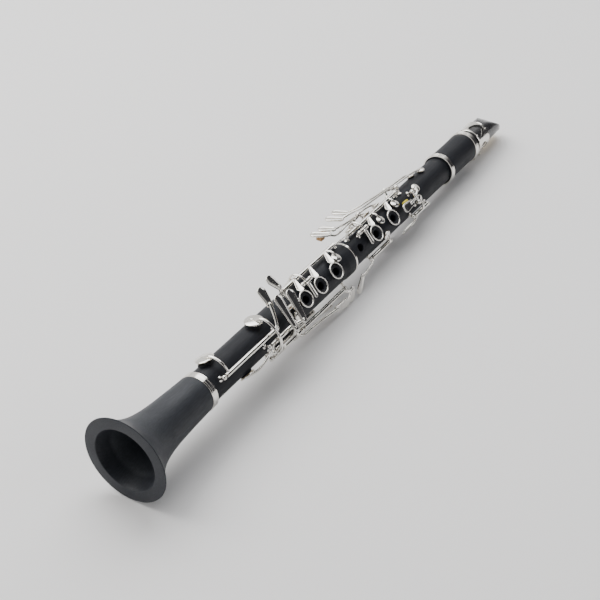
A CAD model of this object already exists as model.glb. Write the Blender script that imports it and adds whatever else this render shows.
"""A B-flat clarinet lying on a table: fine pieces, materials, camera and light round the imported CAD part.

Shapes are written in the instrument's own frame, in millimetres:
  s     distance from the bell's rim towards the mouthpiece
  beta  angle about the bore, in degrees: 0 at the finger holes, +90 on the left-hand side, 180 at the back
  r     distance from the middle of the bore
and placed in the row's frame, in metres, by PLACE.
"""

import math

import bmesh
import bpy
from mathutils import Matrix, Vector


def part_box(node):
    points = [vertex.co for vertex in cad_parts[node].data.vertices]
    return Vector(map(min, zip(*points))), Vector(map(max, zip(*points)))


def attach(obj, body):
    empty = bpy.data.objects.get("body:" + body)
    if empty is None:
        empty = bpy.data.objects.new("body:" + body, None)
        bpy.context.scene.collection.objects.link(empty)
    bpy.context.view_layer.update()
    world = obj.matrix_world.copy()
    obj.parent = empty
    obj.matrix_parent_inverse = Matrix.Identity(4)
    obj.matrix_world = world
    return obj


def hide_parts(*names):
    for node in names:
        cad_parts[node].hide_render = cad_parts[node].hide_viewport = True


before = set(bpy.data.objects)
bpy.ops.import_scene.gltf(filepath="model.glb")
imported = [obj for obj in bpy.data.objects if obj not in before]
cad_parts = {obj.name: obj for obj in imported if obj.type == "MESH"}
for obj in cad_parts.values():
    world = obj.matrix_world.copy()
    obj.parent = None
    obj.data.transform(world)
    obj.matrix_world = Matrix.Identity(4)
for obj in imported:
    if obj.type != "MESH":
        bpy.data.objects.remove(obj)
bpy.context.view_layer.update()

MM = 0.001
ROLL = math.radians(51)  # from finger holes up, towards the left-hand side
BELL_R = 40  # it rests on the bell's rim and, so far along, on the lugs of the ligature
LUG_REACH = 21
RIM_TO_LUGS = 604
BELL_RING = (93, 99.7)  # where the bell's ring starts and ends
RING_R = 17.7

TILT = Matrix.Rotation(math.asin((BELL_R - LUG_REACH) / RIM_TO_LUGS), 4, "Y")
AXIS = TILT @ Vector((1, 0, 0))
low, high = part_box("bell_ring")
RIM = (low + high) / 2 - AXIS * sum(BELL_RING) / 2 * MM
PLACE = Matrix.Translation(RIM) @ TILT @ Matrix.Rotation(ROLL, 4, "X") @ Matrix.Scale(MM, 4)
BEAK = PLACE @ Matrix.Rotation(-ROLL, 4, "X")  # the mouthpiece is turned back, so its slope faces up

BORE = 7.4
LOWER_R = 15.4
UPPER_R = 14.4
SOCKET_R = 16.4  # the thicker top end of the lower joint
MIDDLE = 328  # where the lower joint meets the upper one
TENON_R = 10.4
TENON_GROOVE_R = 9.4  # the cork's bed in a tenon
SEAT = 1.3  # height of a closed cup's underside above the wood
NOTHING = Matrix.Identity(4)
ALONG = Vector((1, 0, 0))


# ---- materials ----


def material(name, colour, roughness, metallic=0.0, **sockets):
    made = bpy.data.materials.new(name)
    made.use_nodes = True
    shader = made.node_tree.nodes["Principled BSDF"]
    shader.inputs["Base Color"].default_value = (*colour, 1)
    shader.inputs["Roughness"].default_value = roughness
    shader.inputs["Metallic"].default_value = metallic
    for socket, value in sockets.items():
        shader.inputs[socket.replace("_", " ")].default_value = value
    return made


def noise(made, scale, detail=4.0, stretch=(1, 1, 1)):
    """A noise field in the row's frame, finer across than along where it is stretched."""
    nodes, links = made.node_tree.nodes, made.node_tree.links
    place = nodes.new("ShaderNodeTexCoord")
    mapping = nodes.new("ShaderNodeMapping")
    mapping.inputs["Scale"].default_value = stretch
    field = nodes.new("ShaderNodeTexNoise")
    field.inputs["Scale"].default_value = scale
    field.inputs["Detail"].default_value = detail
    links.new(place.outputs["Object"], mapping.inputs["Vector"])
    links.new(mapping.outputs["Vector"], field.inputs["Vector"])
    return field.outputs["Fac"]


def ramp(made, source, socket, stops):
    """Feeds a shader's socket with a field run through colours or greys."""
    nodes, links = made.node_tree.nodes, made.node_tree.links
    band = nodes.new("ShaderNodeValToRGB")
    elements = band.color_ramp.elements
    while len(elements) < len(stops):
        elements.new(0.5)
    for element, (position, colour) in zip(elements, stops):
        element.position = position
        element.color = (*(colour if isinstance(colour, tuple) else [colour] * 3), 1)
    links.new(source, band.inputs["Fac"])
    links.new(band.outputs["Color"], nodes["Principled BSDF"].inputs[socket])


def bump(made, source, strength, distance):
    nodes, links = made.node_tree.nodes, made.node_tree.links
    node = nodes.new("ShaderNodeBump")
    node.inputs["Strength"].default_value = strength
    node.inputs["Distance"].default_value = distance
    links.new(source, node.inputs["Height"])
    links.new(node.outputs["Normal"], nodes["Principled BSDF"].inputs["Normal"])


def blackwood(name, depth, shine):
    made = material(name, (0.02, 0.021, 0.024), 0.5, Specular_IOR_Level=shine)
    grain = noise(made, 1100, 6, (0.06, 1, 1))
    shades = [(0.3, 0.7), (0.55, 1), (0.75, 1.3)]
    ramp(made, grain, "Base Color", [(place, tuple(share * c for c in depth)) for place, share in shades])
    ramp(made, noise(made, 60, 3), "Roughness", [(0.3, 0.46), (0.7, 0.56)])
    bump(made, grain, 0.15, 0.00004)
    return made


def nickel():
    made = material("nickel", (0.8, 0.78, 0.74), 0.2, 1.0)
    ramp(made, noise(made, 140, 3), "Base Color", [(0.3, (0.78, 0.755, 0.7)), (0.6, (0.87, 0.845, 0.8))])
    smudge = noise(made, 420, 5)
    ramp(made, smudge, "Roughness", [(0.35, 0.08), (0.7, 0.2)])
    bump(made, smudge, 0.06, 0.00003)
    return made


def steel():
    made = material("blued_steel", (0.3, 0.32, 0.38), 0.3, 1.0)
    ramp(made, noise(made, 900), "Roughness", [(0.3, 0.25), (0.7, 0.4)])
    return made


def cork():
    made = material("cork", (0.5, 0.3, 0.15), 0.85)
    grain = noise(made, 1400, 6)
    shades = [(0.35, (0.25, 0.12, 0.05)), (0.5, (0.5, 0.29, 0.13)), (0.7, (0.62, 0.4, 0.21))]
    ramp(made, grain, "Base Color", shades)
    bump(made, grain, 0.5, 0.0002)
    return made


def felt():
    made = material("yellow_felt", (0.72, 0.6, 0.06), 0.95)
    ramp(made, noise(made, 1800, 6), "Base Color", [(0.3, (0.55, 0.44, 0.03)), (0.7, (0.82, 0.7, 0.1))])
    bump(made, noise(made, 2600, 3), 0.6, 0.0002)
    return made


def pad_skin():
    made = material("pad_skin", (0.75, 0.6, 0.33), 0.6)
    ramp(made, noise(made, 500, 4), "Base Color", [(0.3, (0.62, 0.45, 0.2)), (0.7, (0.82, 0.7, 0.45))])
    bump(made, noise(made, 900, 4), 0.2, 0.0001)
    return made


def ebonite():
    made = material("ebonite", (0.014, 0.014, 0.016), 0.22, Specular_IOR_Level=0.85)
    ramp(made, noise(made, 250, 4), "Roughness", [(0.3, 0.16), (0.7, 0.3)])
    bump(made, noise(made, 700, 4), 0.05, 0.00005)
    return made


def cane():
    made = material("cane", (0.72, 0.58, 0.33), 0.6)
    fibres = noise(made, 2200, 5, (0.02, 1, 1))
    ramp(made, fibres, "Base Color", [(0.3, (0.55, 0.4, 0.17)), (0.7, (0.8, 0.66, 0.4))])
    bump(made, fibres, 0.3, 0.0001)
    return made


def table_top():
    made = material("paper", (0.66, 0.65, 0.64), 0.75)
    ramp(made, noise(made, 2.2, 2), "Base Color", [(0.3, (0.84, 0.83, 0.828)), (0.7, (0.86, 0.85, 0.848))])
    return made


WOOD = blackwood("blackwood", (0.0125, 0.0135, 0.0175), 0.17)
BELL_WOOD = blackwood("bell_blackwood", (0.024, 0.0265, 0.033), 0.3)
NICKEL, STEEL, CORK, FELT = nickel(), steel(), cork(), felt()
SKIN, EBONITE, CANE, PAPER = pad_skin(), ebonite(), cane(), table_top()


# ---- shapes ----


def at(s, beta, r):
    turn = math.radians(beta)
    return Vector((s, -r * math.sin(turn), r * math.cos(turn)))


def outward(beta):
    return at(0, beta, 1)


def across(beta):
    turn = math.radians(beta)
    return Vector((0, math.cos(turn), math.sin(turn)))


def off(s, right, front):
    return Vector((s, right, front))


def sides_of(direction):
    """Two directions square to one another and to a direction."""
    w = direction.normalized()
    u = w.cross(Vector((0, 0, 1)) if abs(w.z) < 0.8 else Vector((1, 0, 0))).normalized()
    return u, w.cross(u)


def rounded(points, radius, steps=3):
    """A profile with each inner corner turned into an arc of about that radius."""
    result = [points[0]]
    for before, corner, after in zip(points, points[1:], points[2:]):
        a, b, c = Vector(before), Vector(corner), Vector(after)
        reach = min(radius, (a - b).length * 0.45, (c - b).length * 0.45)
        start, end = b + (a - b).normalized() * reach, b + (c - b).normalized() * reach
        for i in range(steps + 1):
            t = i / steps
            result.append(tuple((1 - t) ** 2 * start + 2 * t * (1 - t) * b + t * t * end))
    result.append(points[-1])
    return result


def smooth(points, per=6):
    """Points of a curve through points, with how far along each one lies, from 0 to 1."""
    ends = [2 * points[0] - points[1], *points, 2 * points[-1] - points[-2]]
    result = []
    count = len(points) - 1
    for i in range(count):
        a, b, c, d = ends[i : i + 4]
        for k in range(per):
            t = k / per
            place = 0.5 * (
                2 * b + (c - a) * t + (2 * a - 5 * b + 4 * c - d) * t * t + (3 * b - a - 3 * c + d) * t**3
            )
            result.append((place, (i + t) / count))
    result.append((points[-1], 1.0))
    return result


class Piece:
    """One object in the making. Shapes are added to it in the instrument's frame."""

    def __init__(self):
        self.points, self.faces, self.slots = [], [], []

    def loft(self, rings, caps=True, loop=False, slot=0):
        base, n = len(self.points), len(rings[0])
        self.points += [p for ring in rings for p in ring]
        count = len(rings)
        for i in range(count if loop else count - 1):
            a, b = base + i * n, base + (i + 1) % count * n
            for k in range(n):
                j = (k + 1) % n
                self.faces.append((a + k, a + j, b + j, b + k))
                self.slots.append(slot)
        if caps and not loop:
            self.faces.append(tuple(base + k for k in reversed(range(n))))
            self.faces.append(tuple(base + (count - 1) * n + k for k in range(n)))
            self.slots += [slot, slot]
        return self

    def prism(self, middle, x, y, levels, slot=0):
        """A block with a rectangle of half-sides x and y at each level."""
        corners = [middle - x - y, middle + x - y, middle + x + y, middle - x + y]
        return self.loft([[corner + level for corner in corners] for level in levels], slot=slot)

    def lathe(self, profile, origin, direction, segments=32, loop=False, slot=0):
        """Turns a profile of (radius, height) about a line."""
        u, v = sides_of(direction)
        w = direction.normalized()
        turns = [2 * math.pi * k / segments for k in range(segments)]
        round_about = [u * math.cos(t) + v * math.sin(t) for t in turns]
        rings = [[origin + w * h + q * max(r, 0.02) for q in round_about] for r, h in profile]
        return self.loft(rings, loop=loop, slot=slot)

    def rod(self, a, b, radius, segments=16, edge=0.2, slot=0):
        length = (b - a).length
        profile = [(0, 0), (radius, 0), (radius, length), (0, length)]
        return self.lathe(rounded(profile, edge), a, b - a, segments, slot=slot)

    def arm(self, points, radius=1.2, end=None, flat=1.0, sides=12, slot=0):
        """A bar along points that may taper to an end radius, with rounded tips."""
        end = radius if end is None else end
        path = smooth(points)
        if len(points) == 2:
            path = [(points[0].lerp(points[1], k / 4), k / 4) for k in range(5)]
        rings = []
        u = sides_of(path[1][0] - path[0][0])[0]
        last = len(path) - 1
        for i, (place, t) in enumerate(path):
            w = (path[min(i + 1, last)][0] - path[max(i - 1, 0)][0]).normalized()
            u = (u - w * u.dot(w)).normalized()
            v = w.cross(u)
            r = radius + (end - radius) * t
            out = Vector((0, place.y, place.z)).normalized()
            ring = []
            for k in range(sides):
                a = 2 * math.pi * k / sides
                q = (u * math.cos(a) + v * math.sin(a)) * r
                ring.append(place + q - out * q.dot(out) * (1 - flat))
            rings.append((place, w, r, ring))
        shells = [ring for *_, ring in rings]
        for index, sign in ((0, -1), (-1, 1)):
            place, w, r, ring = rings[index]
            rounding = ((0.85, 0.5), (0.45, 0.85), (0.05, 0.98))
            tips = [[place + (q - place) * k + w * sign * r * h for q in ring] for k, h in rounding]
            shells = tips[::-1] + shells if sign < 0 else shells + tips
        return self.loft(shells, slot=slot)

    def leaf(self, a, b, ra, rb, facing, thickness=1.6, rim=0.55, slot=0):
        """A touch: a plate with rounded ends, a rolled rim and a slightly hollow face."""
        x = (b - a).normalized()
        y = facing.cross(x).normalized()
        z = x.cross(y)
        half = thickness / 2
        size = max(ra, rb)
        steps = [(0.5 * size, -half), (0.5, -half), (0.12, -half + 0.2), (0, -half + 0.5)]
        for angle in range(0, 91, 18):
            turn = math.radians(angle)
            steps.append((rim * (1 - math.cos(turn)), half - rim * (1 - math.sin(turn))))
        steps += [
            (rim * 1.5, half - 0.05), (rim * 2, half - 0.16), (0.65 * size, half - 0.24),
            (0.92 * size, half - 0.26),
        ]
        rings = []
        for inset, height in steps:
            ring = []
            for centre, radius, start in ((b, rb, -90), (a, ra, 90)):
                r = max(radius - inset, 0.1)
                for k in range(13):
                    t = math.radians(start + 15 * k)
                    ring.append(centre + x * r * math.cos(t) + y * r * math.sin(t) + z * height)
            rings.append(ring)
        return self.loft(rings, slot=slot)

    def make(self, name, body, finish, material_slot=None, replaces=(), place=PLACE, turn=NOTHING):
        mesh = bpy.data.meshes.new(name)
        mesh.from_pydata([place @ (turn @ p) for p in self.points], [], self.faces)
        for one in finish if isinstance(finish, (list, tuple)) else [finish]:
            mesh.materials.append(one)
        for polygon, slot in zip(mesh.polygons, self.slots):
            polygon.material_index = slot
        obj = bpy.data.objects.new(name, mesh)
        bpy.context.scene.collection.objects.link(obj)
        soften(mesh)
        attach(obj, body)
        if replaces:
            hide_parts(*replaces)
        return obj


def soften(mesh, angle=38):
    """Faces outwards, smooth shading, and an edge kept wherever the surface turns sharply."""
    work = bmesh.new()
    work.from_mesh(mesh)
    bmesh.ops.recalc_face_normals(work, faces=work.faces)
    for face in work.faces:
        face.smooth = True
    limit = math.radians(angle)
    for edge in work.edges:
        edge.smooth = not (len(edge.link_faces) == 2 and edge.calc_face_angle(0) > limit)
    work.to_mesh(mesh)
    work.free()


def carve(obj, tools, place=PLACE):
    """Cuts a piece's holes in one boolean, then applies it."""
    mesh = bpy.data.meshes.new("cutters")
    mesh.from_pydata([place @ p for p in tools.points], [], tools.faces)
    cutter = bpy.data.objects.new("cutters", mesh)
    bpy.context.scene.collection.objects.link(cutter)
    work = bmesh.new()
    work.from_mesh(mesh)
    bmesh.ops.recalc_face_normals(work, faces=work.faces)
    work.to_mesh(mesh)
    work.free()
    change = obj.modifiers.new("holes", "BOOLEAN")
    change.operation = "DIFFERENCE"
    change.solver = "EXACT"
    change.object = cutter
    bpy.context.view_layer.update()
    cut = bpy.data.meshes.new_from_object(obj.evaluated_get(bpy.context.evaluated_depsgraph_get()))
    obj.modifiers.clear()
    obj.data = cut
    bpy.data.objects.remove(cutter)
    soften(cut, 32)


def turned(profile, segments=96):
    """A closed outline of (station, radius) turned about the bore."""
    return Piece().lathe([(r, s) for s, r in profile], Vector((0, 0, 0)), ALONG, segments, loop=True)


# ---- the holes, as in the CAD ----

CHIMNEY = 2.6  # how far a finger hole's rim stands out of the wood
UPPER_HOLES = [(401, 0), (368, 0), (408, 180)]
LOWER_HOLES = [(292, 0), (265, 0), (240, 0)]
PADS = {
    "a": (457, -24, 2.2, 4.6, UPPER_R),
    "a_flat": (452, 16, 2.4, 4.6, UPPER_R),
    "first_ring": (417, -32, 2.6, 4.6, UPPER_R),
    "second_ring": (384.5, -24, 2.6, 4.4, UPPER_R),
    "e_flat_sliver": (357, -94, 2.6, 4.6, UPPER_R),
    "c_sharp": (384, 36, 2.8, 4.8, UPPER_R),
    "trill_1": (397, -118, 2.6, 4.6, UPPER_R),
    "trill_2": (411, -101, 2.6, 4.6, UPPER_R),
    "trill_3": (476, -84, 2.4, 4.4, UPPER_R),
    "trill_4": (489, -66, 2.4, 4.4, UPPER_R),
    "register": (481, 180, 2.6, 4.4, UPPER_R),
    "lower_rings": (303.5, -30, 2.8, 4.8, LOWER_R),
    "b_sliver": (252, -92, 3.4, 5.4, LOWER_R),
    "a_flat_low": (223, 18, 3.6, 5.4, LOWER_R),
    "f_sharp_low": (147, 78, 4.8, 7.6, LOWER_R),
    "f_low": (180, -64, 5.6, 8.6, LOWER_R),
    "e_low": (117, -81, 5.6, 8.6, LOWER_R),
}


# ---- bell, joints and barrel ----


MOUTH = 28.5  # the radius at which the bell's flat lip ends
MOUTH_SLOPE = 0.32
BELL_SOCKET = 81  # how far up the bell its flared bore reaches
STEPS = [i / 40 for i in range(41)]


def flare(s):
    """The bell's outer radius: nearly straight at the ring, and opening fast at the rim."""
    u = 1 - s / BELL_RING[0]
    return 17.2 + 4.6 * u + 18.2 * max(u, 0) ** 5.5


def bell_bore(s):
    wall = 4.2 + 3.4 * s / BELL_SOCKET
    return min(max(flare(s) - wall, BORE + 0.1), MOUTH - MOUTH_SLOPE * s)


def make_bell():
    ring_start, top_end = BELL_RING
    outside = [(s, flare(s)) for s in (1.5 + (ring_start - 1.8) * t**1.5 for t in STEPS)]
    inside = [(s, bell_bore(s)) for s in (3.4 + (BELL_SOCKET - 3.4) * (1 - t) ** 1.5 for t in STEPS)]
    lip = [(0.25, MOUTH + 0.1), (0, MOUTH + 0.5), (0, BELL_R - 1.4), (0.5, BELL_R - 0.6)]
    lip = rounded([inside[-1], *lip, outside[0]], 0.6)
    top = [(ring_start - 0.3, 16.1), (top_end, 16.1), (top_end, 12), (BELL_SOCKET, 12)]
    top = rounded([outside[-1], *top, inside[0]], 0.3)
    profile = inside + lip[1:-1] + outside + top[1:-1]
    turned(profile, 128).make("bell_turned", "body", BELL_WOOD, "blackwood", ["bell"])


def make_ring(name, node, start, end, inner, outer, body="body", grooved=True):
    """A metal ring, with two fine grooves round it unless it is plain."""
    width = end - start
    profile = [(start, inner), (start, outer - 0.35), (start + 0.25, outer)]
    if grooved:
        for groove in (0.27, 0.73):
            middle = start + width * groove
            profile += [(middle - 0.3, outer), (middle, outer - 0.35), (middle + 0.3, outer)]
    profile += [(end - 0.25, outer), (end, outer - 0.35), (end, inner)]
    turned(profile, 96).make(name, body, NICKEL, "nickel", [node])


def hole_tools(holes):
    """Drills for holes given as (station, beta, radius)."""
    tools = Piece()
    for s, beta, radius in holes:
        tools.lathe([(0, 3), (radius, 3), (radius, 30), (0, 30)], at(s, beta, 0), outward(beta), 32)
    return tools


def chimneys(name, fingers, pads, body_r):
    """The raised rims of finger holes and the seats under pads, as turned rings set into the wood."""
    rims = Piece()
    for s, beta in fingers:
        top = body_r + CHIMNEY
        outside = [(5.4, top), (6, top - 1.2), (6.8, body_r - 0.5), (6.8, BORE + 3)]
        profile = [(4, BORE), (4, top - 0.5), (4.7, top), *outside, (4, BORE)]
        rims.lathe(rounded(profile, 0.25), at(s, beta, 0), outward(beta), 40, loop=True)
    for s, beta, hole, _, _ in pads:
        top = body_r + 1
        outside = [(hole + 0.8, top), (hole + 1.5, body_r - 0.6), (hole + 1.5, BORE + 3)]
        profile = [(hole, BORE), (hole, top - 0.3), (hole + 0.3, top), *outside, (hole, BORE)]
        rims.lathe(rounded(profile, 0.15), at(s, beta, 0), outward(beta), 32, loop=True)
    rims.make(name, "body", WOOD, "blackwood")


def make_joint(name, outline, fingers, pads, open_holes=()):
    """A length of turned wood with its holes cut and their rims set in."""
    joint = turned(rounded(outline, 0.35)).make(
        f"{name}_joint_turned", "body", WOOD, "blackwood", [f"{name}_joint"],
    )
    holes = [(s, beta, 4.5) for s, beta in fingers]
    holes += [(s, beta, hole + 0.4) for s, beta, hole, _, _ in pads]
    carve(joint, hole_tools([*holes, *open_holes]))


def make_joints():
    lower = [pad for pad in PADS.values() if pad[4] == LOWER_R]
    upper = [pad for pad in PADS.values() if pad[4] == UPPER_R]
    make_joint("lower", [
        (82, BORE), (309.5, BORE), (309.5, 11), (327.7, 11), (327.7, 15.1), (325, 15.1), (325, SOCKET_R),
        (314, SOCKET_R), (309, LOWER_R), (100.3, LOWER_R), (100.3, TENON_GROOVE_R), (84, TENON_GROOVE_R),
        (84, 10.6), (82, 10.6), (82, BORE),
    ], LOWER_HOLES, lower)
    chimneys("lower_hole_rims", LOWER_HOLES, lower, LOWER_R)
    make_joint("upper", [
        (310, BORE), (537, BORE), (537, TENON_R), (535, TENON_R), (535, TENON_GROOVE_R),
        (521.7, TENON_GROOVE_R), (521.7, UPPER_R), (328.3, UPPER_R), (328.3, TENON_GROOVE_R),
        (312, TENON_GROOVE_R), (312, TENON_R), (310, TENON_R), (310, BORE),
    ], UPPER_HOLES, upper, [(341, 0, 4)])
    chimneys("upper_hole_rims", UPPER_HOLES, [pad for pad in upper if pad[1] != 180], UPPER_R)
    make_ring("bell_ring_turned", "bell_ring", *BELL_RING, 16.4, RING_R)
    make_ring("middle_ring_turned", "middle_ring", 325.3, 327.7, 15.4, 16.6, grooved=False)


def make_barrel():
    start, end = 522.3, 585.7
    inside = [(start, 11), (537.5, 11), (537.5, BORE), (570.5, BORE), (570.5, 11), (end, 11), (end, 15.7)]
    waist = [
        (579.3, 15.7), (579.3, 16.4), (572, 16.15), (554, 16.0), (536, 16.15), (528.7, 16.4), (528.7, 15.7),
    ]
    profile = rounded([*inside, *waist, (start, 15.7), (start, 11)], 0.3)
    turned(profile).make("barrel_turned", "barrel", WOOD, "blackwood", ["barrel"])
    make_ring("barrel_lower_ring_turned", "barrel_lower_ring", start, start + 6.1, 16, 17.3, "barrel")
    make_ring("barrel_upper_ring_turned", "barrel_upper_ring", end - 6.1, end, 16, 17.3, "barrel")


# ---- mouthpiece, reed and ligature, drawn with the beak's slope towards the front ----

SCREWS = (597.5, 610.5)
SHOULDER = 586.3  # where the tenon ends and the mouthpiece proper starts
SLOPE_START = 618
TIP = 660
REED_TABLE = 9.4  # how far behind the bore's middle the flat for the reed lies
CLEAR = 99  # wider than any section, so that it cuts nothing off


def mouthpiece_radius(s):
    if s > SHOULDER:
        return 13.9 - 1.3 * (s - SHOULDER) / (TIP - SHOULDER) - (0.4 if s < 586.9 else 0)
    return TENON_GROOVE_R if 573.05 < s < 584.05 else TENON_R


def mouthpiece_section(s):
    """A round section, cut flat behind for the reed, in front by the slope, and narrowed at the sides."""
    radius = mouthpiece_radius(s)
    table = REED_TABLE if s > 590.1 else CLEAR
    slope = width = CLEAR
    if s > SLOPE_START:
        along = (s - SLOPE_START) / (TIP - SLOPE_START)
        slope = 13 - 21.5 * along**1.9
        width = 14 - 6 * along**3 - (1.2 if s > 659 else 0)
    section = []
    for k in range(96):
        t = 2 * math.pi * k / 96
        y = max(min(radius * math.sin(t), width), -width)
        z = max(min(radius * math.cos(t), slope), -table)
        section.append(Vector((s, y, z)))
    return section


def make_mouthpiece():
    tenon = [571, 573, 573.1, 584, 584.1, 586.2, 586.4, 587]
    body = [590, 590.2, 600, 612, 617, 619, 621.5, 624.5, 627]
    beak = [*range(630, 655, 4), 657, 658.8, TIP]
    shape = Piece().loft([mouthpiece_section(s) for s in tenon + body + beak])
    shape.make("mouthpiece_beak", "mouthpiece", EBONITE, "ebonite", ["mouthpiece"], place=BEAK)


def make_reed():
    """A flat-backed blade, thick in its first half and shaved to a thin tip."""
    rings = []
    top = -REED_TABLE - 0.3
    for i in range(25):
        t = i / 24
        s = 592 + 67.5 * t
        shaved = t >= 0.5
        thick = 2.8 - 2.5 * (2 * t - 1) ** 0.8 if shaved else 2.8
        half = 6.5 - (0.8 * (t - 0.97) / 0.03 if t > 0.97 else 0)
        ring = [Vector((s, -half, top)), Vector((s, half, top))]
        for k in range(13):
            a = 1 - 2 * k / 12
            belly = thick * (1 - (0.45 if shaved else 0.35) * a * a)
            ring.append(Vector((s, half * a, top - max(belly, 0.15))))
        rings.append(ring)
    Piece().loft(rings).make("reed_cane", "mouthpiece", CANE, "cane", ["reed"], place=BEAK)


SCREW_DEPTH = 18  # how far behind the bore's middle the ligature's screws lie


def make_band():
    """The ligature's sleeve, with its windows and the gap between its lugs cut out."""
    start, end = 592, 616
    edge = [(0, 15.2), (0.6, 15.55), (1.8, 15.3)]
    outside = [(end - h, r) for h, r in edge] + [(start + h, r) for h, r in reversed(edge)]
    profile = rounded([(start, 14.6), (end, 14.6), *outside, (start, 14.6)], 0.15)
    band = turned(profile, 96).make("ligature_band", "mouthpiece", NICKEL, "nickel", ["ligature"], place=BEAK)
    tools = Piece()
    for s, beta, radius in ((604, -60, 6.4), (603.2, 22, 8.8), (604, 108, 6.4)):
        centre = at(s, beta, 10)
        rings = []
        for h in (0, 12):
            ring = []
            for k in range(40):
                t = 2 * math.pi * k / 40
                x = math.cos(t)
                y = math.sin(t) * (1 - 0.28 * math.cos(t))
                ring.append(centre + outward(beta) * h + (ALONG * 1.1 * x + across(beta) * y) * radius)
            rings.append(ring)
        tools.loft(rings)
    middle = Vector(((start + end) / 2, 0, 0))
    tools.prism(middle, ALONG * 14, Vector((0, 3.2, 0)), (Vector((0, 0, -24)), Vector((0, 0, -12))))
    carve(band, tools, BEAK)


def make_lugs():
    lugs = Piece()
    eye = rounded([(1.6, 3.4), (3, 3.4), (3, 8.4), (1.6, 8.4), (1.6, 3.4)], 0.35)
    rivet = rounded([(0, 15.2), (0.9, 15.2), (0.9, 15.7), (0, 15.9)], 0.3)
    for s in SCREWS:
        for side in (-1, 1):
            lugs.lathe(eye, Vector((s, 0, -SCREW_DEPTH)), Vector((0, side, 0)), 24, loop=True)
            foot = Vector((s, side * 4.6, 0))
            lugs.prism(foot, ALONG * 2.5, Vector((0, 0.8, 0)), (Vector((0, 0, -16.2)), Vector((0, 0, -13.4))))
    for s in (594.6, 613.4):
        for beta in (-41, 41):
            lugs.lathe(rivet, at(s, beta, 0), outward(beta), 16)
    lugs.make("ligature_lugs", "mouthpiece", NICKEL, "nickel", place=BEAK)


def make_screws():
    for s, node in zip(SCREWS, ("ligature_screw_lower", "ligature_screw_upper")):
        screw = Piece()
        start = Vector((s, 0, -SCREW_DEPTH))
        screw.rod(start + Vector((0, -9.4, 0)), start + Vector((0, 9.2, 0)), 1.1, 16)
        rings = []
        head = ((8.9, 0.7), (9.2, 1), (10, 1), (10.4, 0.86), (10.8, 1), (13.2, 1), (13.7, 0.8), (14, 0.4))
        for h, scale in head:
            ring = []
            for k in range(72):
                t = 2 * math.pi * k / 72
                knurl = 0.12 if k % 3 and scale == 1 else 0
                r = 2.9 * scale - knurl
                ring.append(start + Vector((r * math.cos(t), h, r * math.sin(t))))
            rings.append(ring)
        screw.loft(rings)
        screw.make(f"{node}_knurled", node, NICKEL, "nickel", [node], place=BEAK)


# ---- keywork ----


BALL_R = 2.2


def post(piece, s, beta, foot, head, shift=0.0):
    """A turned pillar: flange, waisted stem and ball. Gives back the middle of the ball."""
    stem = head - foot
    ball = stem + 0.1
    profile = [(0, 0), (2.5, 0), (2.5, 0.5), (1.9, 0.9), (1.25, 1.5)]
    profile += [(1.1, stem * 0.5), (1.2, stem - 2.1), (1.7, stem - 1.75), (1.3, stem - 1.5)]
    for a in range(-45, 91, 15):
        turn = math.radians(a)
        profile.append((BALL_R * math.cos(turn), ball + BALL_R * math.sin(turn)))
    origin = at(s, beta, foot) + across(beta) * shift
    piece.lathe(profile, origin, outward(beta), 20)
    return origin + outward(beta) * ball


def pivot(piece, place, direction):
    """The head of a pivot screw, with its slot."""
    w = direction.normalized()
    piece.rod(place + w * 1.7, place + w * 2.35, 1.15, 16, 0.12)
    u, v = sides_of(w)
    piece.prism(place, u * 0.95, v * 0.14, (w * 2.36, w * 2.38), slot=1)


def body_radius(s):
    if s > MIDDLE:
        return UPPER_R
    return SOCKET_R if s > MIDDLE - 16 else LOWER_R


def long_posts(node, stations, beta, r):
    piece = Piece()
    heads = [post(piece, s, beta, body_radius(s) - 0.1, r) for s in stations]
    piece.rod(heads[0], heads[-1], 1.0, 12)
    pivot(piece, heads[0], -ALONG)
    pivot(piece, heads[-1], ALONG)
    piece.make(f"{node}_turned", "body", [NICKEL, STEEL], "nickel", [node])


def cross_posts(node, s, beta, r, half):
    piece = Piece()
    foot = math.sqrt(UPPER_R**2 - (half - BALL_R) ** 2) - 0.3
    heads = [post(piece, s, beta, foot, r, side * half) for side in (-1, 1)]
    piece.rod(heads[0], heads[1], 1.0, 12)
    for head, side in zip(heads, (-1, 1)):
        pivot(piece, head, across(beta) * side)
    piece.make(f"{node}_turned", "body", [NICKEL, STEEL], "nickel", [node])


RING_KEY_R = 7.6  # to the middle of a ring key's metal


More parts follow.
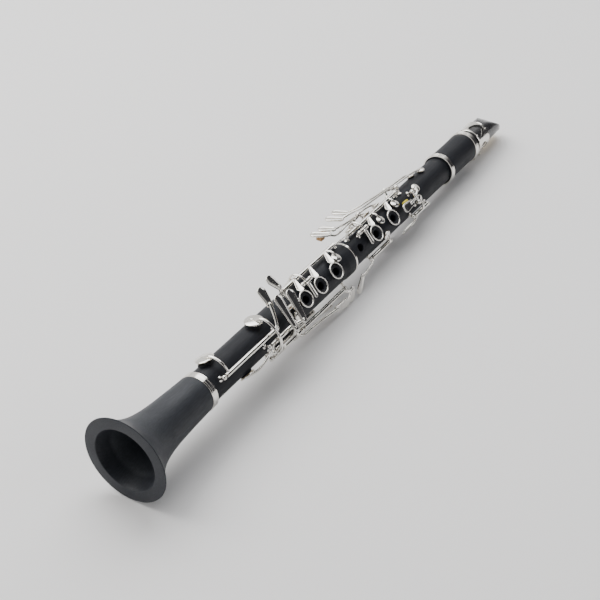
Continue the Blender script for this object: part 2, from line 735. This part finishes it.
class Key:
    """One key: its shapes in nickel, its pads and its corks, all turned to how it rests about its hinge."""

    def __init__(self, node, point, axis, opened=0.0):
        self.node, self.metal, self.soft = node, Piece(), Piece()
        self.turn = (
            Matrix.Translation(point) @ Matrix.Rotation(
                math.radians(opened), 4, axis,
            ) @ Matrix.Translation(-point)
        )

    def tube(self, a, b):
        """A hinge tube with a collar at each end."""
        length = (b - a).length
        profile = [
            (1.45, 0), (2.0, 0), (2.1, 0.12), (2.1, length - 0.12), (2.0, length), (1.45, length),
            (1.45, 0),
        ]
        if length > 9:
            grooves = [(2.1, 0.9), (1.92, 1.0), (1.92, 1.25), (2.1, 1.35)]
            profile[3:3] = grooves + [(r, length - h) for r, h in reversed(grooves)]
        self.metal.lathe(profile, a, b - a, 20, loop=True)

    def cup(self, name):
        """A pad cup with a turned-over rim, and the pad under it."""
        s, beta, _, radius, body_r = PADS[name]
        base = at(s, beta, body_r + SEAT)
        w = outward(beta)
        profile = [
            (radius * 0.9, 0.55), (radius, 0.5), (radius, 1.0), (radius * 0.97, 1.3), (radius * 0.88, 1.55),
            (radius * 0.6, 1.9), (radius * 0.3, 2.12), (0.0, 2.2),
        ]
        self.metal.lathe([(0, 0.55)] + profile, base, w, 40)
        pad = [(0, 0), (0.5, 0), (0.86, 0), (0.94, 0.15), (0.94, 0.7), (0, 0.7)]
        self.soft.lathe([(radius * share, h) for share, h in pad], base, w, 36)

    def cup_top(self, name):
        s, beta, _, _, body_r = PADS[name]
        return at(s, beta, body_r + SEAT + 1.8)

    def saddle(self, name, towards):
        """The end of an arm spread over a cup's dome."""
        top = self.cup_top(name)
        _, beta, _, radius, _ = PADS[name]
        w = outward(beta)
        side = towards - top
        side = (side - w * side.dot(w)).normalized()
        near, far = top + side * radius * 0.85 + w * 0.1, top - side * radius * 0.35 + w * 0.35
        self.metal.arm([near, top + w * 0.45, far], 1.3, 0.8, 0.55)

    def ring(self, s, beta, base):
        """A ring for a finger, round a hole's raised rim."""
        profile = []
        for a in range(0, 361, 30):
            t = math.radians(a)
            profile.append((RING_KEY_R + 0.7 * math.cos(t), 0.75 + 0.75 * math.sin(t)))
        self.metal.lathe(profile, at(s, beta, base), outward(beta), 48, loop=True)

    def block(self, place, facing, width, length, thickness, slot=1):
        """A small block of cork or felt glued under a touch or a tail."""
        x = ALONG * length / 2
        y = facing.cross(ALONG).normalized() * width / 2
        corners = (-x - y, x - y, x + y, y - x)
        shell = [
            [place + corner * k - facing * h * thickness for corner in corners]
            for k, h in ((0.93, 0), (1, 0.08), (1, 0.92), (0.93, 1))
        ]
        self.soft.loft(shell, slot=slot)

    def make(self):
        self.metal.make(f"{self.node}_finished", self.node, NICKEL, "nickel", [self.node], turn=self.turn)
        if self.soft.points:
            self.soft.make(f"{self.node}_pad", self.node, [SKIN, CORK, FELT], "cork", turn=self.turn)


def long_key(node, s, beta, r, opened=0.0):
    key = Key(node, at(s[0], beta, r), ALONG, opened)
    key.tube(at(s[0], beta, r), at(s[1], beta, r))
    return key


def cross_key(node, hinge, along):
    (s, _), (beta, r) = CROSS_POSTS[hinge], HINGES[hinge]
    key = Key(node, at(s, beta, r), across(beta))
    a, b = (at(s, beta, r) + across(beta) * x for x in along)
    key.tube(a, b)
    return key


def ring_web(key, s, beta, r, ring_r):
    """A flat web, narrow at the tube and as wide as the ring where it meets its side."""
    tube = at(s + 8, beta + 4, r + 0.9)
    edge = off(s, RING_KEY_R, ring_r - 0.65)
    slope = (tube - edge).normalized()
    middle = edge + slope * 3.2
    key.metal.leaf(tube, middle, 1.25, 3.4, outward(beta / 2), 1.3, rim=0.25)


# Each hinge's angle about the bore and its distance from the bore's middle
HINGES = {
    "low_e": (0, 21),
    "low_f": (47, 21),
    "low_f_sharp": (22, 21),
    "low_a_flat": (-16, 18.6),
    "left_lever": (84, 22),
    "left_f_lever": (108, 20.5),
    "lower_ring": (-66, 19.6),
    "b_sliver": (-36, 19.8),
    "upper_ring": (-58, 18.6),
    "e_flat_sliver": (-37, 18.8),
    "c_sharp": (66, 18.6),
    "thumb_ring": (137, 18.6),
    "throat_a_flat": (50, 18.8),
    "throat_a": (-4, 20.2),
    "register_key": (180, 19),
    "lower_side_key": (-110, 20.5),
    "upper_side_key": (-82, 20.5),
}
POST_STATIONS = {
    "low_e": (110, 188),
    "low_f": (177, 214),
    "low_f_sharp": (171, 213),
    "low_a_flat": (211.2, 229.8),
    "left_lever": (181, 231, 306),
    "left_f_lever": (186, 262),
    "lower_ring": (228, 318),
    "b_sliver": (248, 260),
    "upper_ring": (337, 431),
    "e_flat_sliver": (349.6, 362.2),
    "c_sharp": (352, 391),
    "thumb_ring": (396, 420),
    "throat_a_flat": (434, 464),
}
# The hinges that run across: station, and how far each post stands from the middle
CROSS_POSTS = {
    "throat_a": (443, 6),
    "register_key": (453, 5.4),
    "lower_side_key": (379, 7.6),
    "upper_side_key": (437, 7.6),
}


def lower_keys():
    beta, r = HINGES["lower_ring"]
    key = long_key("lower_ring_key", (230.8, 315.2), beta, r, -4.3)
    for s, b in LOWER_HOLES:
        key.ring(s, b, LOWER_R + 1.1)
        ring_web(key, s, beta, r, LOWER_R + CHIMNEY)
    key.cup("lower_rings")
    key.metal.arm(
        [at(304, beta, r + 1), at(304, -50, 20.8), at(303.7, -38, 19.6), key.cup_top("lower_rings")], 1.1,
        1.2, 0.8,
    )
    key.saddle("lower_rings", at(304, -60, 19))
    key.metal.arm([at(312, beta, r + 1), at(315, -57, 22), at(323, -53, 22), at(332, -47, 19.6)], 1.1, 1.0)
    key.make()

    key = long_key("b_f_sharp_key", (250.6, 257.4), *HINGES["b_sliver"])
    key.metal.leaf(at(252.5, -26, 20.4), at(252.5, 8, 18.6), 2.2, 2.4, outward(-12))
    key.cup("b_sliver")
    key.metal.arm(
        [
            at(252.5, -36, 21.2), at(252.3, -52, 23.6), at(252.1, -68, 23.8), at(252, -80, 22),
            key.cup_top("b_sliver"),
        ],
        1.1, 1.2, 0.8,
    )
    key.saddle("b_sliver", at(252, -70, 20))
    key.make()

    key = long_key("e_b_key", (112.8, 185.2), *HINGES["low_e"], 6)
    key.cup("e_low")
    key.metal.arm(
        [at(116.5, 0, 22), at(116.5, -30, 21.8), at(116.8, -58, 20.8), key.cup_top("e_low")], 1.3, 1.5, 0.8,
    )
    key.saddle("e_low", at(117, -50, 20))
    key.metal.arm([at(184, 2, 22), at(184, 20, 25.2), at(184, 44, 26), at(184, 60, 24.6)], 1.1)
    key.metal.arm(
        [off(183.4, 0.5, 22.6), off(188, 3, 23), off(194, 12, 20.5), off(198, 19.7, 17.8)], 1.4, 1.7, 0.8,
    )
    key.metal.leaf(off(197.5, 19, 17.8), off(199.6, 31, 14), 3.4, 5, outward(-20))
    key.block(off(199.4, 24, 15.2), outward(-20), 5, 5, 2.6)
    key.make()

    key = long_key("f_c_key", (179.8, 211.2), *HINGES["low_f"], 5.5)
    key.cup("f_low")
    key.metal.arm(
        [at(181, 45, 22.4), at(180.5, 22, 25.8), at(180, -4, 26), at(180, -36, 24), key.cup_top("f_low")],
        1.3, 1.5, 0.85,
    )
    key.saddle("f_low", at(180, -40, 21))
    key.metal.arm([at(192, 48, 22), at(192, 56, 24), at(191, 64, 24)], 1.2, 1.0)
    key.metal.arm([off(202, -15, 15.8), off(202, -12.5, 21.2), off(201.5, -7.5, 26.4)], 1.4)
    key.metal.leaf(off(201.5, -7.5, 26.7), off(206, 18.5, 20), 3.2, 5, outward(-14))
    key.make()

    key = long_key("f_sharp_c_sharp_key", (173.8, 210.2), *HINGES["low_f_sharp"])
    key.cup("f_sharp_low")
    key.metal.arm(
        [at(175.4, 24, 22.2), at(166, 36, 23), at(154, 56, 21.6), key.cup_top("f_sharp_low")], 1.2, 1.4,
        0.85,
    )
    key.saddle("f_sharp_low", at(152, 60, 20))
    key.metal.arm([at(207.6, 24, 22.2), at(207.6, 45, 25.6), at(208.5, 64, 23.8)], 1.1, 1.0)
    key.metal.arm([off(208.6, -8, 20.8), off(211, -8.3, 24.2), off(215.5, -8.5, 26.8)], 1.4)
    key.metal.leaf(off(215.5, -8.5, 26.9), off(222.5, 14.5, 22.5), 3.2, 4.9, outward(-12))
    key.block(off(219, 2, 23.6), outward(-12), 4, 3, 2.4)
    key.make()

    key = long_key("a_flat_e_flat_key", (213.8, 227.2), *HINGES["low_a_flat"])
    key.cup("a_flat_low")
    key.metal.arm([at(222, -14, 19.6), at(222, 0, 19.4), key.cup_top("a_flat_low")], 1.1)
    key.metal.arm(
        [off(222.5, 6, 18.6), off(222, 13, 16.6), off(221.5, 19, 14.8), off(221, 25, 16.6)], 1.2, 1.6, 0.85,
    )
    key.metal.leaf(off(220.5, 25.5, 16.9), off(217.5, 34, 15.4), 3.2, 4.9, outward(-20))
    key.make()


def left_levers():
    beta, r = HINGES["left_lever"]
    key = long_key("left_e_b_lever", (183.8, 228.2), beta, r)
    key.metal.arm([at(185, 83, 21.2), at(184.5, 72, 20), at(184, 62, 20.6)], 1.1)
    key.metal.arm(
        [at(226, 86, 23.4), at(229, 87, 26.6), at(240, 87, 27.2), at(262, 88, 28.8), at(284, 88, 31.2)],
        1.6, 2.2, 0.8,
    )
    key.metal.leaf(at(283, 88, 31), at(297, 86, 32.6), 3.2, 5, outward(40), 2.2, rim=0.9)
    key.make()
    key = long_key("left_f_sharp_lever", (233.8, 303.2), beta, r)
    key.metal.arm([at(236, 82, 21), at(234, 76, 19.2), at(224, 70, 19), at(211, 66, 19.6)], 1)
    key.metal.arm([at(301, 82, 23.4), at(306, 78, 26.6), at(311, 78, 27)], 1.3)
    key.metal.leaf(at(311, 79, 27), at(309, 89, 33), 3.2, 4.9, outward(35), 2.2, rim=0.9)
    key.make()
    key = long_key("left_f_lever", (188.8, 259.2), *HINGES["left_f_lever"])
    key.metal.arm(
        [at(190, 106, 20), at(190, 96, 17.6), at(190, 82, 17.2), at(190, 70, 18), at(190, 63, 19.6)], 1,
    )
    key.metal.arm([at(256, 109, 21.8), at(262, 108, 24.8), at(268, 107, 26.4)], 1.3, 1.6)
    key.metal.leaf(at(267, 107, 26.2), at(283, 103, 28), 2.8, 4.2, outward(68))
    key.make()


def upper_keys():
    beta, r = HINGES["upper_ring"]
    top = UPPER_R + CHIMNEY
    key = long_key("first_ring_key", (390, 428.2), beta, r, -5)
    key.ring(401, 0, top - 1.5)
    ring_web(key, 401, beta, r, top)
    key.cup("first_ring")
    key.metal.arm([at(417, beta, r + 1), at(417, -46, 19), key.cup_top("first_ring")], 1.0, 1.2, 0.8)
    key.saddle("first_ring", at(417, -50, 18))
    key.make()

    key = long_key("second_ring_key", (339.8, 389.4), beta, r, -5)
    key.ring(368, 0, top - 1.5)
    ring_web(key, 368, beta, r, top)
    key.cup("second_ring")
    key.metal.arm([at(384.5, beta, r + 1), at(384.5, -44, 19.2), key.cup_top("second_ring")], 1.0, 1.2, 0.8)
    key.saddle("second_ring", at(384.5, -50, 18))
    key.metal.arm([at(341, beta, r + 1), at(336, -52, 22.4), at(326, -46, 22.8)], 1.2, 1.1)
    key.make()

    key = long_key("e_flat_b_flat_key", (352.2, 359.6), *HINGES["e_flat_sliver"])
    key.metal.leaf(at(356, -28, 19.4), at(356, 8, 17.4), 2.2, 2.4, outward(-12))
    key.cup("e_flat_sliver")
    key.metal.arm(
        [
            at(357, -37, 20), at(357, -48, 22), at(357, -62, 22.8), at(357, -76, 21.8),
            key.cup_top("e_flat_sliver"),
        ],
        1.1, 1.2, 0.8,
    )
    key.saddle("e_flat_sliver", at(357, -70, 20))
    key.make()

    key = long_key("c_sharp_g_sharp_key", (354.8, 388.2), *HINGES["c_sharp"])
    key.cup("c_sharp")
    key.metal.arm([at(384, 64, 19.8), at(384, 52, 20.2), key.cup_top("c_sharp")], 1.1)
    key.metal.arm([at(357, 68, 19.8), at(350, 70, 22.5), at(340, 72, 24), at(331, 74, 25)], 1.3, 1.7, 0.8)
    key.metal.leaf(at(330, 74, 25), at(323, 87, 32.6), 3, 4.6, outward(35))
    key.make()

    key = long_key("thumb_ring_key", (398.8, 417.2), *HINGES["thumb_ring"], -5)
    key.ring(408, 180, top - 1.1)
    key.metal.arm([at(408, 138, 19.6), at(408, 148, 18.8), at(408, 154, 18)], 1.0, 1.1, 0.8)
    key.make()

    key = long_key("throat_a_flat_key", (436.8, 461.2), *HINGES["throat_a_flat"])
    key.cup("a_flat")
    key.metal.arm([at(452, 48, 20), at(452, 34, 19.8), key.cup_top("a_flat")], 1.1)
    key.metal.arm([at(440, 52, 20), at(434, 60, 21.6), at(428, 64, 22)], 1.2, 1.6, 0.85)
    key.metal.leaf(at(430, 63, 21.9), at(416, 70, 22), 2.4, 3.6, outward(62))
    key.make()

    key = cross_key("throat_a_key", "throat_a", (-3.2, 3.2))
    key.metal.leaf(at(431, 0, 21.8), at(420, 0, 21.6), 3.4, 4.6, outward(0))
    key.metal.arm([at(441.5, -2, 20.8), at(436, -1, 21.6), at(430, 0, 21.8)], 1.2, 1.7, 0.8)
    key.block(at(427, -9, 20.6), outward(-6), 4.4, 7, 3.4, slot=2)
    key.cup("a")
    key.metal.arm([at(444.5, -6, 21), at(450, -14, 20.8), key.cup_top("a")], 1.1)
    key.saddle("a", at(448, -10, 18))
    key.make()

    key = cross_key("register_key", "register_key", (-2.6, 2.6))
    key.metal.leaf(at(438, 180, 21.2), at(421, 180, 20.6), 3, 4.4, outward(180))
    key.metal.arm([at(451.5, 180, 19.8), at(445, 180, 21), at(437, 180, 21.2)], 1.3, 1.9, 0.8)
    key.cup("register")
    key.metal.arm([at(454.5, 180, 19.6), at(466, 180, 20), key.cup_top("register")], 1.3, 1.2)
    key.saddle("register", at(470, 180, 18))
    key.make()


# Hinge, place along it, pad, the bends of the lever, and the two ends of the touch
SIDE_KEYS = [
    ("lower_side_key", 1.4, "trill_1", [at(366, -117, 21.4), at(347, -116, 21)],
     off(331.8, 25.5, -4), off(327.2, 31.7, -15)),
    ("lower_side_key", -4.6, "trill_2", [at(366, -100, 22.5), at(353, -99, 24)],
     off(342.5, 26, -5.2), off(339, 31, -14)),
    ("upper_side_key", 1.4, "trill_3", [at(421, -90, 23.4), at(397, -95, 26)],
     off(375.5, 28, -9), off(372.6, 33.5, -18.5)),
    ("upper_side_key", -4.6, "trill_4", [at(421, -76, 23.4), at(385, -77, 26.2), at(370, -88, 28)],
     off(360.5, 28.2, -6.4), off(357, 33.4, -15.6)),
]
SIDE_FACING = outward(-52)


def side_keys():
    for i, (hinge, along, pad, bend, inner, outer) in enumerate(SIDE_KEYS):
        s, (beta, r) = CROSS_POSTS[hinge][0], HINGES[hinge]
        key = cross_key(f"side_key_{i + 1}", hinge, (along, along + 3.2))
        near = at(s, beta, r + 1) + across(beta) * (along + 1.6)
        key.cup(pad)
        pad_s, pad_beta = PADS[pad][:2]
        key.metal.arm([near, at((2 * pad_s + s) / 3, pad_beta, 20.6), key.cup_top(pad)], 1.1, 1.2, 0.8)
        key.saddle(pad, at(pad_s - 8, pad_beta, 19))
        key.metal.arm([near, *bend, inner], 1.1, 1.35, 0.8)
        lift = SIDE_FACING * 0.6
        key.metal.leaf(inner + lift, outer + lift, 3.2, 4.1, SIDE_FACING, 2.1, rim=0.9)
        if i == 0:
            key.block(inner.lerp(outer, 0.55) - SIDE_FACING, SIDE_FACING, 6, 6, 4)
        key.make()


def posts():
    for name, stations in POST_STATIONS.items():
        long_posts(f"{name}_posts", stations, *HINGES[name])
    for name, (s, half) in CROSS_POSTS.items():
        cross_posts(f"{name}_posts", s, *HINGES[name], half)


def springs():
    """Blued needle springs, from a post to the hook on the tube that they press."""
    wires = Piece()
    runs = [
        (at(318, -63, 17.8), at(296, -58, 18.9)), (at(337, -55, 16.9), at(352, -50, 18.0)),
        (at(431, -55, 16.9), at(412, -50, 18.0)), (at(188, 4, 18.2), at(168, 7, 19.2)),
        (at(110, 4, 18.0), at(130, 7, 19.4)), (at(352, 69, 16.6), at(370, 73, 17.4)),
        (at(231, 88, 19.4), at(252, 90, 20.2)), (at(434, 53, 16.6), at(447, 57, 17.6)),
    ]
    for a, b in runs:
        wires.arm([a, a.lerp(b, 0.5) + Vector((0, 0.2, 0.2)), b], 0.32, 0.22, sides=8)
    wires.make("needle_springs", "body", STEEL, "nickel")


def thumb_rest():
    piece = Piece()
    base = -(LOWER_R + 1.2)
    plate = []
    for inset, z in ((0.5, base + 0.8), (0, base + 0.5), (0, base - 0.5), (0.5, base - 0.8)):
        ring = []
        for cx, start in ((263, -90), (249, 90)):
            for k in range(13):
                t = math.radians(start + 15 * k)
                ring.append(Vector((cx + (6 - inset) * math.cos(t), (6 - inset) * math.sin(t), z)))
        plate.append(ring)
    piece.loft(plate)
    shape = [(266.4, base), (266.9, base - 6), (266.4, base - 12), (263, base - 13.6), (259.9, base - 13.4)]
    upper = [(-1, 0), (-0.96, 0.8), (-0.7, 1), (0.7, 1), (0.96, 0.8)]
    section = upper + [(-x, -y) for x, y in upper]
    rings = []
    path = smooth([Vector((s, 0, z)) for s, z in shape])
    for i, (p, _) in enumerate(path):
        w = (path[min(i + 1, len(path) - 1)][0] - path[max(i - 1, 0)][0]).normalized()
        v = Vector((0, 1, 0)).cross(w)
        rings.append([p + Vector((0, 6.6 * x, 0)) + v * 1.1 * y for x, y in section])
    piece.loft(rings)
    screw = rounded([(0, 0), (2, 0), (1.9, 0.5), (0, 0.8)], 0.2)
    for s in (249, 258):
        piece.lathe(screw, Vector((s, 0, base - 0.8)), Vector((0, 0, -1)), 20)
    piece.make("thumb_rest_formed", "body", NICKEL, "nickel", ["thumb_rest"])


def corks():
    """The tenon corks that the CAD carries keep their shape; so does the register tube."""
    for node in ("bell_tenon_cork", "middle_tenon_cork", "barrel_tenon_cork", "mouthpiece_cork"):
        paint(node, CORK)
    paint("register_tube", NICKEL)


def paint(node, finish):
    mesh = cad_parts[node].data
    mesh.materials.clear()
    mesh.materials.append(finish)


make_bell()
make_joints()
make_barrel()
make_mouthpiece()
make_reed()
make_band()
make_lugs()
make_screws()
posts()
lower_keys()
left_levers()
upper_keys()
side_keys()
springs()
thumb_rest()
corks()


# ---- table, light and camera ----


def table():
    mesh = bpy.data.meshes.new("table")
    reach = 6
    corners = [(-reach, -reach, 0), (reach, -reach, 0), (reach, reach, 0), (-reach, reach, 0)]
    mesh.from_pydata(corners, [], [(0, 1, 2, 3)])
    mesh.materials.append(PAPER)
    obj = bpy.data.objects.new("table", mesh)
    bpy.context.scene.collection.objects.link(obj)


# The photograph's viewpoint, in the row's frame: azimuth 0 looks along +Y, and 90 along -X
AZIMUTH, ELEVATION, LEAN = math.radians(302.232), math.radians(37.4), math.radians(0.317)
LEVEL = Vector((math.cos(AZIMUTH), math.sin(AZIMUTH), 0))
AHEAD = Vector((-math.sin(AZIMUTH), math.cos(AZIMUTH), 0))
FORWARD = AHEAD * math.cos(ELEVATION) - Vector((0, 0, math.sin(ELEVATION)))
RIGHT = Matrix.Rotation(LEAN, 3, FORWARD) @ LEVEL
DOWN = FORWARD.cross(RIGHT)
# From the camera to the middle of the bell's rim, in metres along those three directions
RIM_RIGHT, RIM_DOWN, RIM_AHEAD = -0.1335, 0.1240, 0.9727


def camera():
    data = bpy.data.cameras.new("camera")
    data.sensor_width = 36
    data.lens = 76.72
    data.shift_y = -0.0033
    data.clip_start, data.clip_end = 0.05, 30
    obj = bpy.data.objects.new("camera", data)
    bpy.context.scene.collection.objects.link(obj)
    turn = Matrix((RIGHT, -DOWN, -FORWARD)).transposed()
    place = RIM - RIGHT * RIM_RIGHT - DOWN * RIM_DOWN - FORWARD * RIM_AHEAD
    obj.matrix_world = Matrix.Translation(place) @ turn.to_4x4()
    bpy.context.scene.camera = obj


def light(name, place, size, power, colour):
    """A soft rectangle of light that faces the instrument's middle."""
    data = bpy.data.lights.new(name, "AREA")
    data.shape = "RECTANGLE"
    data.size, data.size_y = size
    data.energy = power
    data.color = colour
    obj = bpy.data.objects.new(name, data)
    bpy.context.scene.collection.objects.link(obj)
    obj.location = place
    obj.rotation_mode = "QUATERNION"
    obj.rotation_quaternion = (-place).to_track_quat("-Z", "Y")


DARK_SIDE = Vector((0.05, -0.82, 0.52))  # towards the dark part of the room
BRIGHT, DARK = (0.86, 0.86, 0.85, 1), (0.03, 0.03, 0.034, 1)


def lights():
    side = Vector((RIGHT.x, RIGHT.y, 0)).normalized()
    ahead = Vector((FORWARD.x, FORWARD.y, 0)).normalized()
    up = Vector((0, 0, 1))
    light("window", -side * 1.2 + ahead * 0.5 + up * 1.5, (1.6, 1.2), 32, (1, 0.99, 0.97))
    light("ceiling", up * 2.2 + ahead * 1.3, (2.4, 2.0), 52, (0.98, 0.99, 1))
    light("fill", side * 1.6 - ahead * 0.6 + up * 1.0, (1.2, 1.0), 8, (0.97, 0.98, 1))
    room()


def room():
    """A pale room that is dark on the side from which the instrument is looked at."""
    world = bpy.data.worlds.new("room")
    world.use_nodes = True
    nodes, links = world.node_tree.nodes, world.node_tree.links
    place = nodes.new("ShaderNodeTexCoord")
    facing = nodes.new("ShaderNodeVectorMath")
    facing.operation = "DOT_PRODUCT"
    facing.inputs[1].default_value = DARK_SIDE.normalized()
    band = nodes.new("ShaderNodeValToRGB")
    band.color_ramp.interpolation = "EASE"
    for element, position, colour in zip(band.color_ramp.elements, (0.2, 0.62), (BRIGHT, DARK)):
        element.position, element.color = position, colour
    links.new(place.outputs["Generated"], facing.inputs[0])
    links.new(facing.outputs["Value"], band.inputs["Fac"])
    links.new(band.outputs["Color"], nodes["Background"].inputs["Color"])
    nodes["Background"].inputs["Strength"].default_value = 1.2
    bpy.context.scene.world = world


table()
camera()
lights()
